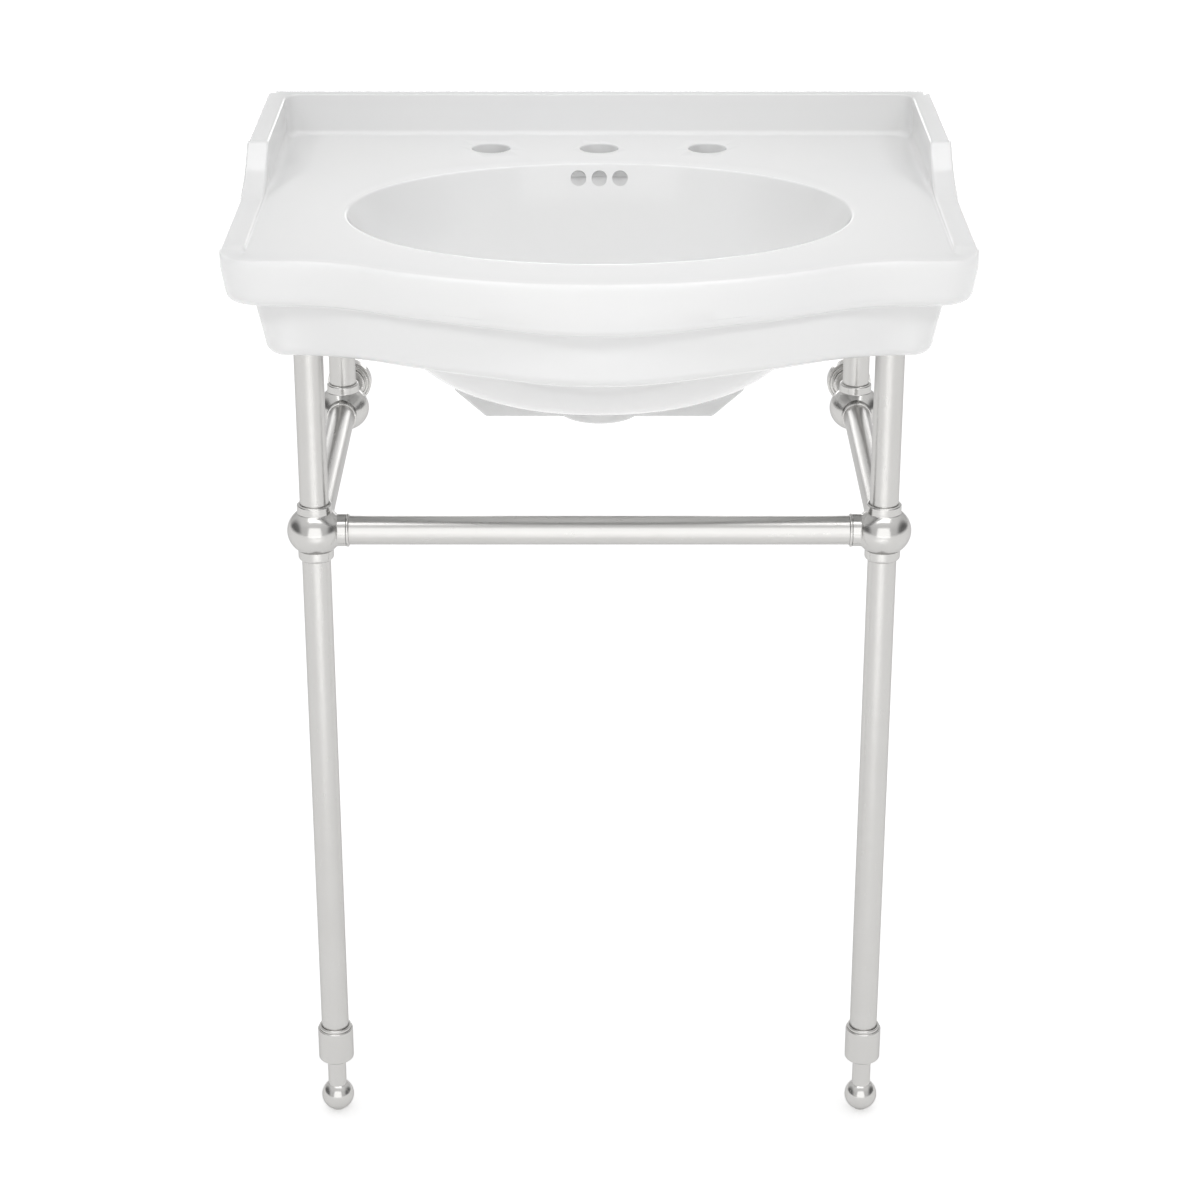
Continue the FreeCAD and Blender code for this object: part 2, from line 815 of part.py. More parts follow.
def foot_glide(x, y):
    # Nylon disc under the foot, with a stem pressed into the ball.
    disc = round_rims(Part.makeCylinder(glide_radius, foot_flat), foot_flat / 3, [(glide_radius, 0)])
    solid = disc.fuse(Part.makeCylinder(glide_stem_radius, foot_flat + glide_stem_length))
    return place(solid, Vector(x, y, 0), Vector(0, 0, 1))


def top_plug(x, y):
    # Plug that closes the top of a post and carries its rubber pad.
    down = Vector(0, 0, -1)
    head = Part.makeCylinder(tube_radius, top_plug_head)
    spigot = cylinder(Vector(), down, spigot_radius, top_plug_length)
    return place(head.fuse(spigot), Vector(x, y, post_top_z), Vector(0, 0, 1))


def top_pad(x, y):
    radius = tube_radius + top_pad_overhang
    solid = Part.makeCylinder(radius, top_pad_thickness)
    solid = round_rims(solid, top_pad_overhang, [(radius, 0)])
    return place(solid, Vector(x, y, post_top_z + top_plug_head), Vector(0, 0, 1))


def wall_plate(x):
    # Plate that is screwed to the wall, with a spigot that the wall stub slides over.
    radius = flange_radius - flange_wall - plate_clearance
    spigot = Part.makeCylinder(spigot_radius, plate_thickness + plate_spigot_length)
    solid = Part.makeCylinder(radius, plate_thickness).fuse(spigot)
    for index in range(plate_hole_count):
        angle = math.pi / 2 + index * 2 * math.pi / plate_hole_count
        base = Vector(plate_hole_circle * math.cos(angle), plate_hole_circle * math.sin(angle), 0)
        solid = solid.cut(Part.makeCylinder(plate_hole_radius, plate_thickness, base))
    return place(solid, Vector(x, wall_y, rail_height), Vector(0, -1, 0))


def wall_flange(x):
    # Cup that hides the wall plate: a rim, a raised ring and a hub round the stub,
    # with grooves between them.
    bore = tube_radius + running_clearance
    skin = flange_radius - flange_wall
    floor = flange_depth - flange_groove
    rim_inner = flange_radius - flange_rim_width
    ring_outer = rim_inner - flange_groove / 2
    ring_inner = ring_outer - flange_ring_width
    inside = flange_depth - flange_face
    solid = turned([
        (skin, 0),
        (flange_radius, 0),
        (flange_radius, flange_depth),
        (rim_inner, flange_depth),
        (rim_inner, floor),
        (ring_outer, floor),
        (ring_outer, flange_depth + flange_groove),
        (ring_inner, flange_depth + flange_groove),
        (ring_inner, floor),
        (flange_hub_radius, floor),
        (flange_hub_radius, flange_hub_length),
        (bore, flange_hub_length),
        (bore, inside),
        (skin, inside),
    ])
    solid = round_rims(solid, flange_edge_round, [
        (flange_radius, flange_depth),
        (rim_inner, flange_depth),
        (ring_outer, flange_depth + flange_groove),
        (ring_inner, flange_depth + flange_groove),
        (flange_hub_radius, flange_hub_length),
    ])
    start = Vector(0, 0, flange_hub_length - flange_screw_setback)
    hole = cylinder(start, Vector(0, -1, 0), flange_screw_radius + fit_clearance, flange_radius)
    return place(solid.cut(hole), Vector(x, wall_y, rail_height), Vector(0, -1, 0))


def flange_set_screw(x):
    y = wall_y - flange_hub_length + flange_screw_setback
    tip = Vector(x, y, rail_height - tube_radius - running_clearance)
    return set_screw(tip, Vector(0, 0, -1), flange_screw_radius, flange_hub_wall)


def left_parts():
    # Every piece of the left half of the stand; the right half is its mirror image.
    front = Vector(-leg_x, leg_y, rail_height)
    back = Vector(-leg_x, upright_y, rail_height)
    up = Vector(0, 0, 1)
    away = Vector(0, 1, 0)
    inward = Vector(1, 0, 0)
    front_top = Vector(front.x, front.y, post_top_z)
    back_top = Vector(back.x, back.y, post_top_z)
    leg_foot = Vector(front.x, front.y, ferrule_bottom + ferrule_floor)
    stub_end = Vector(back.x, wall_y - plate_thickness, rail_height)
    screws = fitting_screws(front, front_ports()) + fitting_screws(back, back_ports())
    return {
        "front_leg_upper": pipe(front + up * socket_floor, front_top),
        "front_leg_lower": pipe(front - up * spot_face, leg_foot),
        "back_upright": pipe(back + up * socket_floor, back_top),
        "side_rail": pipe(front + away * socket_floor, back - away * socket_floor),
        "wall_stub": pipe(back + away * socket_floor, stub_end),
        "front_ball": ball_fitting(front, front_ports()),
        "back_ball": ball_fitting(back, back_ports()),
        "front_leg_collar": post_collar(front),
        "back_upright_collar": post_collar(back),
        "lower_leg_collar": leg_collar(front, inward + away),
        "front_rail_collar": rail_collar(front, inward),
        "side_rail_front_collar": rail_collar(front, away),
        "side_rail_back_collar": rail_collar(back, -away),
        "wall_stub_collar": rail_collar(back, away),
        "foot_ferrule": foot_ferrule(front.x, front.y),
        "foot_insert": foot_insert(front.x, front.y),
        "leveling_foot": leveling_foot(front.x, front.y),
        "foot_glide": foot_glide(front.x, front.y),
        "front_top_plug": top_plug(front.x, front.y),
        "front_top_pad": top_pad(front.x, front.y),
        "back_top_plug": top_plug(back.x, back.y),
        "back_top_pad": top_pad(back.x, back.y),
        "wall_plate": wall_plate(front.x),
        "wall_flange": wall_flange(front.x),
        "flange_set_screw": flange_set_screw(front.x),
        "ball_set_screws": Part.makeCompound(screws),
    }


def build():
    rail_left = Vector(socket_floor - leg_x, leg_y, rail_height)
    rail_right = Vector(leg_x - socket_floor, leg_y, rail_height)
    parts = {"basin": basin(), "front_rail": pipe(rail_left, rail_right)}
    for node, shape in left_parts().items():
        parts[f"{node}_left"] = shape
        parts[f"{node}_right"] = shape.mirror(Vector(0, 0, 0), Vector(1, 0, 0))
    return parts


os.makedirs("parts", exist_ok=True)
for node, shape in build().items():
    shape.exportStep(f"parts/{node}.step")
    print(node, round(shape.Volume))
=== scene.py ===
import bpy
import bmesh
import math
from mathutils import Euler, Matrix, Vector


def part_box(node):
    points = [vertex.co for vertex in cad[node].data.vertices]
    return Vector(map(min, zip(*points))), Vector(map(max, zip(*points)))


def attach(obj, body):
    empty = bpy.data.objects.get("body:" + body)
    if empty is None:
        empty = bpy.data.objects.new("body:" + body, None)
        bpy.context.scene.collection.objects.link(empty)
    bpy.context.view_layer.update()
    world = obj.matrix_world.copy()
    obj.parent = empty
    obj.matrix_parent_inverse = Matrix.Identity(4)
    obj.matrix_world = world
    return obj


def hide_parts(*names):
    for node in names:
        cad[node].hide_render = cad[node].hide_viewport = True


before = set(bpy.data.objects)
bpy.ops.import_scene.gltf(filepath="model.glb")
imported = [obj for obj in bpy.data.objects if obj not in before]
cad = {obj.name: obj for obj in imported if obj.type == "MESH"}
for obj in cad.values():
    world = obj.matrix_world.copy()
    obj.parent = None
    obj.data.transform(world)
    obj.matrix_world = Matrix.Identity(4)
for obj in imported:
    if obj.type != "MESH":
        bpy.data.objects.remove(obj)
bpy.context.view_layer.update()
sideSigns = {"left": -1, "right": 1}
print("frame:", len(cad), "CAD pieces")


class Wire:  # a shader socket that can stand in a sum
    def __init__(self, finish, socket):
        self.finish = finish
        self.socket = socket

    def combine(self, operation, first, second):
        return self.finish.node("ShaderNodeMath", {"operation": operation}, {0: first, 1: second})

    def __add__(self, other):
        return self.combine("ADD", self, other)

    def __sub__(self, other):
        return self.combine("SUBTRACT", self, other)

    def __rsub__(self, other):
        return self.combine("SUBTRACT", other, self)

    def __mul__(self, other):
        return self.combine("MULTIPLY", self, other)

    def __pow__(self, other):
        return self.combine("POWER", self, other)

    __radd__ = __add__
    __rmul__ = __mul__


class Finish:  # one material and its nodes
    def __init__(self, name, owner=None):
        self.material = owner or bpy.data.materials.new(name)
        self.material.use_nodes = True
        self.tree = self.material.node_tree

    def feed(self, socket, value):
        if isinstance(value, Wire):
            self.tree.links.new(value.socket, socket)
        else:
            socket.default_value = value

    def node(self, kind, settings, values, output=0):
        made = self.tree.nodes.new(kind)
        for key, value in settings.items():
            setattr(made, key, value)
        for key, value in values.items():
            self.feed(made.inputs[key], value)
        return Wire(self, made.outputs[output])

    def shade(self, values):
        surface = self.tree.nodes["Principled BSDF"]
        for name, value in values.items():
            self.feed(surface.inputs[name], value)
        return self.material

    def place(self, scale=(1, 1, 1)):  # object coordinates, stretched to run a grain
        where = self.node("ShaderNodeTexCoord", {}, {}, "Object")
        return self.node("ShaderNodeMapping", {}, {"Vector": where, "Scale": scale})

    def noise(self, where, scale, detail=3.0, roughness=0.5):
        values = {"Vector": where, "Scale": scale, "Detail": detail, "Roughness": roughness}
        return self.node("ShaderNodeTexNoise", {}, values, "Fac")

    def mix(self, share, first, second):
        return self.node("ShaderNodeMix", {"data_type": "RGBA"}, {0: share, 6: first, 7: second}, 2)

    def bump(self, height, strength, distance):
        values = {"Height": height, "Strength": strength, "Distance": distance}
        return self.node("ShaderNodeBump", {}, values)


glaze = {
    "cool": (0.718, 0.721, 0.725, 1), "warm": (0.734, 0.733, 0.729, 1), "cloud": 7.0, "ior": 1.52,
    "roughness": 0.075, "smear": 34.0, "smearRough": 0.06, "specks": 900.0, "speckFew": 9.0,
    "speckRough": 0.3, "peelScale": 260.0, "peel": 0.035, "peelDepth": 0.0004,
}


def glazedCeramic():
    finish = Finish("glazedCeramic")
    where = finish.place()
    cloud = finish.noise(where, glaze["cloud"], 2.0)
    smear = finish.noise(where, glaze["smear"])
    peel = finish.noise(where, glaze["peelScale"], 1.0)  # the glaze's faint orange peel
    specks = finish.noise(where, glaze["specks"], 1.0) ** glaze["speckFew"]  # pinholes in the glaze
    colour = finish.mix(cloud, glaze["cool"], glaze["warm"])
    return finish.shade({
        "Base Color": colour,
        "Roughness": smear * glaze["smearRough"] + specks * glaze["speckRough"] + glaze["roughness"],
        "IOR": glaze["ior"],
        "Normal": finish.bump(peel, glaze["peel"], glaze["peelDepth"]),
    })


nickel = {
    "pale": (0.585, 0.579, 0.567, 1), "deep": (0.552, 0.545, 0.532, 1),
    "edge": (0.68, 0.68, 0.68, 1), "grain": 900.0, "stretch": 0.018, "cloud": 26.0, "wipe": 140.0,
    "tubeRough": 0.28, "fittingRough": 0.19, "spread": 0.03,
    "tubeScratch": 0.002, "fittingScratch": 0.001, "scratchDepth": 0.0002,
}


def satinNickel(name, axis, roughness, scratch):
    finish = Finish(name)
    spread = nickel["spread"]
    scale = [1.0, 1.0, 1.0]
    scale[axis] = nickel["stretch"]  # brushed along the tube
    grain = finish.noise(finish.place(scale), nickel["grain"], 3.0, 0.6)
    where = finish.place()
    cloud = finish.noise(where, nickel["cloud"], 2.0)
    wipe = finish.noise(where, nickel["wipe"], 4.0)
    least = roughness - 0.75 * spread  # each noise averages a half, so the mean comes out as roughness
    return finish.shade({
        "Base Color": finish.mix(cloud, nickel["deep"], nickel["pale"]),
        "Metallic": 1.0,
        "Specular Tint": nickel["edge"],
        "Roughness": grain * spread + wipe * spread * 0.5 + least,
        "Normal": finish.bump(grain, scratch, nickel["scratchDepth"]),
    })


lathe = {"stretch": (1, 1, 9), "stain": 60.0, "spread": 0.14, "bump": 0.12, "depth": 0.0003}


def turnedMetal(name, deep, pale, roughness, grain):
    finish = Finish(name)
    rings = finish.noise(finish.place(lathe["stretch"]), grain, 2.0)  # fine rings left by the lathe
    stain = finish.noise(finish.place(), lathe["stain"])
    return finish.shade({
        "Base Color": finish.mix(stain, deep, pale),
        "Metallic": 1.0,
        "Roughness": rings * lathe["spread"] + roughness,
        "Normal": finish.bump(rings, lathe["bump"], lathe["depth"]),
    })


mould = {"cloud": 45.0, "spread": 0.2, "bump": 0.25, "depth": 0.0003}


def mouldedPlastic(name, deep, pale, roughness, texture):
    finish = Finish(name)
    grit = finish.noise(finish.place(), texture, 4.0, 0.7)
    cloud = finish.noise(finish.place(), mould["cloud"], 2.0)
    return finish.shade({
        "Base Color": finish.mix(cloud, deep, pale),
        "Roughness": grit * mould["spread"] + roughness,
        "Normal": finish.bump(grit, mould["bump"], mould["depth"]),
    })


ceramic = glazedCeramic()
tubeFinish = [satinNickel(f"satinNickel{letter}", axis, nickel["tubeRough"], nickel["tubeScratch"])
              for axis, letter in enumerate("XYZ")]
fittingFinish = satinNickel("polishedNickel", 2, nickel["fittingRough"], nickel["fittingScratch"])
# the small pieces' finishes: deep and pale colour, roughness, scale of the grain
brassFinish = turnedMetal("machinedBrass", (0.62, 0.45, 0.2, 1), (0.74, 0.56, 0.28, 1), 0.24, 420.0)
zincFinish = turnedMetal("zincPlate", (0.5, 0.52, 0.54, 1), (0.66, 0.68, 0.70, 1), 0.3, 300.0)
screwFinish = turnedMetal("darkScrewSteel", (0.1, 0.1, 0.105, 1), (0.2, 0.2, 0.21, 1), 0.32, 700.0)
nylonFinish = mouldedPlastic("paleNylon", (0.68, 0.68, 0.66, 1), (0.76, 0.76, 0.74, 1), 0.4, 800.0)
plugFinish = mouldedPlastic("blackPlug", (0.02, 0.02, 0.02, 1), (0.04, 0.04, 0.042, 1), 0.45, 900.0)
rubberFinish = mouldedPlastic("blackRubber", (0.015, 0.015, 0.015, 1), (0.03, 0.03, 0.03, 1), 0.62, 600.0)
print("finishes:", len(bpy.data.materials), "materials")


def makePiece(name, mesh, material):
    mesh.name = name
    piece = bpy.data.objects.new(name, mesh)
    bpy.context.scene.collection.objects.link(piece)
    mesh.materials.clear()
    mesh.materials.append(material)
    return piece


# the angle in degrees past which an edge stays sharp, and the distance that merges points, in metres
sharpAngles = {"shell": 32, "base": 28, "tube": 30, "fitting": 24}
mergeWithin = {"rings": 1e-6, "copy": 2e-6, "tube": 1e-7}


def shadeByAngle(mesh, angle):
    mesh.shade_smooth()
    mesh.set_sharp_from_angle(angle=math.radians(angle))


def evaluated(piece):  # the piece's mesh with its modifiers applied
    graph = bpy.context.evaluated_depsgraph_get()
    graph.update()
    return bpy.data.meshes.new_from_object(piece.evaluated_get(graph))


def applyModifiers(piece):
    mesh = evaluated(piece)
    piece.modifiers.clear()
    piece.data = mesh


def cut(piece, cutters):
    for cutter in cutters:
        step = piece.modifiers.new("cut", "BOOLEAN")
        step.object = cutter
        step.operation = "DIFFERENCE"
        step.solver = "EXACT"
    applyModifiers(piece)
    for cutter in cutters:
        bpy.data.objects.remove(cutter)


def meshFrom(shape, name):
    mesh = bpy.data.meshes.new(name)
    shape.to_mesh(mesh)
    shape.free()
    return mesh


def closedRings(rings, closedLoop):  # quads between rings of equal length; ends capped unless looped
    shape = bmesh.new()
    rows = [[shape.verts.new(point) for point in ring] for ring in rings]
    pairs = list(zip(rows, rows[1:]))
    if closedLoop:
        pairs.append((rows[-1], rows[0]))
    for low, high in pairs:
        for index in range(len(low)):
            after = (index + 1) % len(low)
            shape.faces.new((low[index], low[after], high[after], high[index]))
    if not closedLoop:
        shape.faces.new(rows[0][::-1])
        shape.faces.new(rows[-1])
    bmesh.ops.remove_doubles(shape, verts=shape.verts, dist=mergeWithin["rings"])
    bmesh.ops.recalc_face_normals(shape, faces=shape.faces)
    return meshFrom(shape, "rings")


def smoothCopy(node, material):  # the CAD piece with its doubles merged and smooth faces
    shape = bmesh.new()
    shape.from_mesh(cad[node].data)
    bmesh.ops.remove_doubles(shape, verts=shape.verts, dist=mergeWithin["copy"])
    mesh = meshFrom(shape, node)
    shadeByAngle(mesh, sharpAngles["fitting"])
    return makePiece(f"{node}_finished", mesh, material)


def settle(piece, body, nodes):  # its body and the CAD nodes it stands for
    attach(piece, body)
    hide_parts(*nodes)


# metres, with the two leans in radians, turns and bowl angles in degrees, and shares from 0 to 1
basinShape = {
    "halfWidth": 0.3175, "wallY": 0.258, "frontY": -0.258, "bowDepth": 0.066,
    "cornerRound": 0.025, "cornerFlat": 0.0315, "shoulderRound": 0.141,
    "deckZ": 0.854, "wallHeight": 0.035, "ledge": 0.0036, "deckUnderZ": 0.841,
    "plainZ": 0.8436, "rimBottomZ": 0.8066, "skirtBottomZ": 0.7563, "crown": 0.0055, "crownHalf": 0.14,
    "rimDraft": 0.0045, "rimRound": 0.009, "skirtRound": 0.012,
    "skirtSideTop": 0.0245, "skirtSideLow": 0.036, "skirtFrontTop": 0.016, "skirtFrontLow": 0.024,
    "skirtFlat": 0.003, "shellWall": 0.011, "backPanel": 0.014,
    "sideFoot": 0.0205, "backFoot": 0.035, "sideLean": 1.528, "backLean": 1.142,
    "cove": 0.007, "ledgeCove": 0.0025, "topRound": 0.0026, "edgeRound": 0.0045, "sideEdge": 0.002,
    "backEdge": 0.0015, "outerCorner": 0.003, "innerCorner": 0.014,
    "highLength": 0.191, "sweepLength": 0.088, "sweepRound": 0.010, "fadeStart": -0.172, "fadeEnd": -0.188,
    "leastStraight": 0.00006, "rimFall": 0.0003, "wallFade": 0.02, "deckStart": 0.003, "leastRound": 0.003,
    "cornerBlend": (0.004, 0.012), "hollowZ": (0.825, 0.805, 0.785), "skirtZ": (0.778, 0.788, 0.797, 0.803),
    "hollowEase": 0.001, "hollowRise": 0.006, "skirtTurn": 80.0, "rimStep": 0.0012, "draftUnder": 0.8,
    "rimShares": (0.7, 0.35, 0.0), "deckShares": (0.12, 0.3, 0.5, 0.7, 0.88),
    "rimMargin": 0.001, "rimUnder": 0.0005,
}
bowlShape = {
    "halfWidth": 0.221, "halfDepth": 0.157, "middleY": -0.04, "depth": 0.163, "wall": 0.012,
    "lean": 20.0, "slope": 2.5, "round": 0.110, "lip": 0.003, "drainY": -0.021, "drainSetback": 0.019,
    "drainRadius": 0.0225, "drainEdge": 0.003, "bossRadius": 0.038, "bossRound": 0.004, "bossZ": 0.662,
    "floorEnd": 0.03, "roundFrom": 0.075, "roundFromOutside": 0.085, "roundFade": 0.04,
    "bossGap": 0.006, "bossSink": 0.001, "outsideTop": 0.0047,
}
# how many points each stretch of half the outline takes, and the steps along its side in metres
stretches = {"back": 16, "backCorner": 7, "corner": 12, "flat": 4, "shoulder": 14, "bow": 24}
sideSteps = {
    "plain": 0.012, "start": 0.0007, "startPast": 0.001, "startUnder": 0.0075, "sweep": 0.003,
    "sweepUnder": 0.004, "end": 0.003, "squeeze": (0.15, -0.10),
}
# how many steps each rounding or straight of a section takes
steps = {
    "edge": 5, "wallRound": 6, "rim": 7, "lip": 6,
    "bowlSide": 6, "bowlRound": 14, "bowlFloor": 6, "small": 4,
}


def smoothStep(value):  # an even S between 0 and 1
    share = min(1.0, max(0.0, value))
    return share * share * (3 - 2 * share)


def mixed(first, second, share):
    return first + (second - first) * share


def quarterTurn(count):  # angles from nothing to a right angle
    return [math.pi / 2 * step / count for step in range(count + 1)]


def outlinePoint(stretch, share, side, back, front, backRound, frontRound):
    # a point of the plan outline, inset by side, back and front
    b = basinShape
    x = b["halfWidth"] - side
    y = b["wallY"] - back
    bowHalf = b["halfWidth"] - b["cornerRound"] - b["cornerFlat"]
    cornerY = b["frontY"] + b["bowDepth"]
    flatY = cornerY + front
    bowRadius = (bowHalf**2 + b["bowDepth"]**2) / (2 * b["bowDepth"]) - b["shoulderRound"]
    crownY = b["frontY"] + bowRadius
    turn = math.atan2(cornerY - b["shoulderRound"] - crownY, bowHalf)
    if stretch == "back":
        return share * (x - backRound), y
    if stretch == "backCorner":
        angle = math.pi / 2 * (1 - share)
        return x - backRound * (1 - math.cos(angle)), y - backRound * (1 - math.sin(angle))
    if stretch == "side":
        plain = mixed(b["wallY"], cornerY + b["cornerRound"], share)
        high, low = sideSteps["squeeze"]
        if plain > high:
            return x, mixed(high, y - backRound, (plain - high) / (b["wallY"] - high))
        if plain < low:
            return x, mixed(low, flatY + frontRound, (low - plain) / (low - cornerY - b["cornerRound"]))
        return x, plain
    if stretch == "corner":
        angle = -math.pi / 2 * share
        return x - frontRound * (1 - math.cos(angle)), flatY + frontRound * (1 + math.sin(angle))
    if stretch == "flat":
        return mixed(x - frontRound, bowHalf, share), flatY
    if stretch == "shoulder":
        radius = b["shoulderRound"] + front
        angle = mixed(math.pi / 2, turn + math.pi, share)
        return bowHalf + radius * math.cos(angle), cornerY - b["shoulderRound"] + radius * math.sin(angle)
    radius = bowRadius - front
    angle = mixed(turn, -math.pi / 2, share)
    return radius * math.cos(angle), crownY + radius * math.sin(angle)


def sideShares():  # closer together where the wall sweeps down
    b, s = basinShape, sideSteps
    high = b["wallY"] - b["highLength"]
    low = high - b["sweepLength"]
    end = b["frontY"] + b["bowDepth"] + b["cornerRound"]
    places = [
        (high + s["startPast"], s["plain"]), (high - s["startUnder"], s["start"]),
        (low - s["sweepUnder"], s["sweep"]), (s["squeeze"][1], s["plain"]), (end, s["end"]),
    ]
    y = b["wallY"]
    shares = []
    for limit, step in places:
        count = max(1, round((y - limit) / step))
        shares += [mixed(y, limit, index / count) for index in range(count)]
        y = limit
    return [(b["wallY"] - y) / (b["wallY"] - end) for y in shares]


def spokes():  # stretch and share of every point round half the outline
    found = []
    for stretch, count in stretches.items():
        if stretch == "corner":
            found += [("side", share) for share in sideShares()]
        found += [(stretch, index / count) for index in range(count)]
    return found + [("bow", 1.0)]


def wallHeightAt(stretch, y):  # the wall above the deck: high at the back, a sweep down, then a low ledge
    b = basinShape
    if stretch in ("back", "backCorner"):
        return b["wallHeight"]
    if stretch not in ("side", "corner"):
        return 0.0
    high = b["wallY"] - b["highLength"]
    low = high - b["sweepLength"]
    rise = b["wallHeight"] - b["ledge"]
    total = (b["sweepLength"]**2 + rise**2) / (2 * rise)
    longRound = total - b["sweepRound"]
    turn = 2 * math.atan(rise / b["sweepLength"])
    if y >= high:
        return b["wallHeight"]
    if y > high - b["sweepRound"] * math.sin(turn):
        return b["wallHeight"] - b["sweepRound"] + math.sqrt(b["sweepRound"]**2 - (high - y)**2)
    if y > low:
        return b["ledge"] + longRound - math.sqrt(longRound**2 - (y - low)**2)
    return b["ledge"] * smoothStep((y - b["fadeEnd"]) / (b["fadeStart"] - b["fadeEnd"]))


def topProfile(height, wall, edge):
    # from the outer face over the wall's top down to the deck: (inset, height) pairs
    b = basinShape
    foot, lean, top = b[f"{wall}Foot"], b[f"{wall}Lean"], b["topRound"]
    tall = smoothStep((height - b["ledge"]) / b["wallFade"])
    cove = mixed(b["ledgeCove"], b["cove"], tall)
    shaped = max(height, b["ledge"])
    turn = min(lean, math.acos(max(-1.0, 1 - (shaped - b["leastStraight"]) / (cove + top))))
    rise = shaped - (cove + top) * (1 - math.cos(turn))
    straight = max(0.0, rise) / math.sin(turn)
    deckInset = foot + cove * math.tan(lean / 2)
    points = []
    for step in range(steps["wallRound"] + 1):
        angle = turn * step / steps["wallRound"]
        points.append((deckInset - cove * math.sin(angle), cove * (1 - math.cos(angle))))
    inset, z = points[-1]
    inset -= straight * math.cos(turn)
    z += straight * math.sin(turn)
    points.append(((points[-1][0] + inset) / 2, (points[-1][1] + z) / 2))
    centre = (inset - top * math.sin(turn), z - top * math.cos(turn))
    for step in range(steps["wallRound"] + 1):
        angle = turn * (1 - step / steps["wallRound"])
        points.append((centre[0] + top * math.sin(angle), centre[1] + top * math.cos(angle)))
    scale = height / shaped
    points = [(inset, z * scale) for inset, z in points]
    points.insert(0, (deckInset + b["deckStart"], 0.0))
    points.append((mixed(edge, points[-1][0], 0.5), height))
    for angle in quarterTurn(steps["edge"]):
        points.append((edge * (1 - math.sin(angle)), height - edge * (1 - math.cos(angle))))
    return points[::-1]


def crownedZ(z, x):  # a lower edge dips in the middle and is level beyond
    b = basinShape
    share = min(1.0, abs(x) / b["crownHalf"])
    dip = 2 * share * share if share < 0.5 else 1 - 2 * (1 - share)**2
    return z + b["crown"] * dip


def outerBand():
    # rings from the hollow's top round the skirt's foot and up to the rim:
    # side, back and front inset, height, and how much of the crown's dip the ring follows
    b = basinShape
    rings = []
    wall, ease = b["shellWall"], b["hollowEase"]

    def skirtInset(z):
        share = (b["rimBottomZ"] - z) / (b["rimBottomZ"] - b["skirtBottomZ"])
        side = mixed(b["skirtSideTop"], b["skirtSideLow"], share)
        return side, mixed(b["skirtFrontTop"], b["skirtFrontLow"], share)

    for z in (b["deckUnderZ"], *b["hollowZ"]):
        side, front = skirtInset(z)
        rings.append((side + wall, b["backPanel"], front + wall, z, 0.0))
    low = b["skirtBottomZ"]
    side, front = skirtInset(low + b["skirtRound"])
    rings.append((side + wall + ease, b["backPanel"], front + wall + ease, low + b["hollowRise"], 1.0))
    for step in range(steps["rim"] + 1):
        left = 1 - step / steps["rim"]
        angle = math.radians(b["skirtTurn"]) * left
        reach = b["skirtRound"] * (1 - math.cos(angle))
        z = low + b["skirtRound"] * (1 - math.sin(angle))
        rings.append((side + reach, b["backPanel"] * left, front + reach, z, 1.0))
    for z in b["skirtZ"]:
        side, front = skirtInset(z)
        rings.append((side, 0.0, front, z, 1.0))
    side, front = skirtInset(b["rimBottomZ"])
    rings.append((side, 0.0, front, b["rimBottomZ"] - b["rimStep"], 1.0))
    rings.append((side - b["rimStep"], 0.0, front - b["rimStep"], b["rimBottomZ"], 1.0))
    draft = b["rimDraft"]
    for step in range(steps["rim"] + 1):
        angle = math.pi / 2 * (1 - step / steps["rim"])
        reach = draft * b["draftUnder"] + b["rimRound"] * (1 - math.cos(angle))
        z = b["rimBottomZ"] + b["rimFall"] + b["rimRound"] * (1 - math.sin(angle))
        rings.append((reach, 0.0, reach, z, 1.0))
    for share in b["rimShares"]:
        z = mixed(b["plainZ"], b["rimBottomZ"], share)
        rings.append((draft * share, 0.0, draft * share, z, share))
    return rings


def straightRun(start, end, count):  # the points after the start
    return [start.lerp(end, step / count) for step in range(1, count + 1)]


def bowlCurve(offset, lip):
    # half section of the bowl's face, or with an offset of its outside: radius and height from rim to floor
    w = bowlShape
    lean, slope = math.radians(w["lean"]), math.radians(w["slope"])
    rim = w["halfWidth"] + offset / math.cos(lean)
    floor = -w["depth"] - offset
    up = Vector((math.sin(lean), math.cos(lean)))
    inward = Vector((-math.cos(slope), -math.sin(slope)))
    outwards = (rim * math.cos(lean) + floor * math.sin(lean)) / math.cos(lean - slope)
    corner = Vector((0.0, floor)) - inward * outwards  # where the side's line meets the floor's
    turn = math.pi - up.angle(inward)
    radius = w["round"] + offset
    reach = radius * math.tan(turn / 2)
    points = []
    if lip:
        wallTurn = math.pi / 2 - lean
        tangent = lip * math.tan(wallTurn / 2)
        for step in range(steps["lip"] + 1):
            angle = wallTurn * step / steps["lip"]
            points.append(Vector((rim + tangent - lip * math.sin(angle), lip * (math.cos(angle) - 1))))
    else:
        points.append(Vector((rim, 0.0)))
    start = corner + up * reach
    points += straightRun(points[-1], start, steps["bowlSide"])
    toCentre = Vector((-up.y, up.x))
    centre = start + toCentre * radius
    for step in range(1, steps["bowlRound"] + 1):
        angle = turn * step / steps["bowlRound"]
        spoke = start - centre
        points.append(centre + Vector((
            spoke.x * math.cos(-angle) - spoke.y * math.sin(-angle),
            spoke.x * math.sin(-angle) + spoke.y * math.cos(-angle),
        )))
    end = points[-1]
    floorEnd = Vector((w["floorEnd"], end.y - (end.x - w["floorEnd"]) * math.tan(slope)))
    points += straightRun(end, floorEnd, steps["bowlFloor"])
    squash = (w["halfDepth"] + offset / math.cos(lean)) / rim
    return points, squash


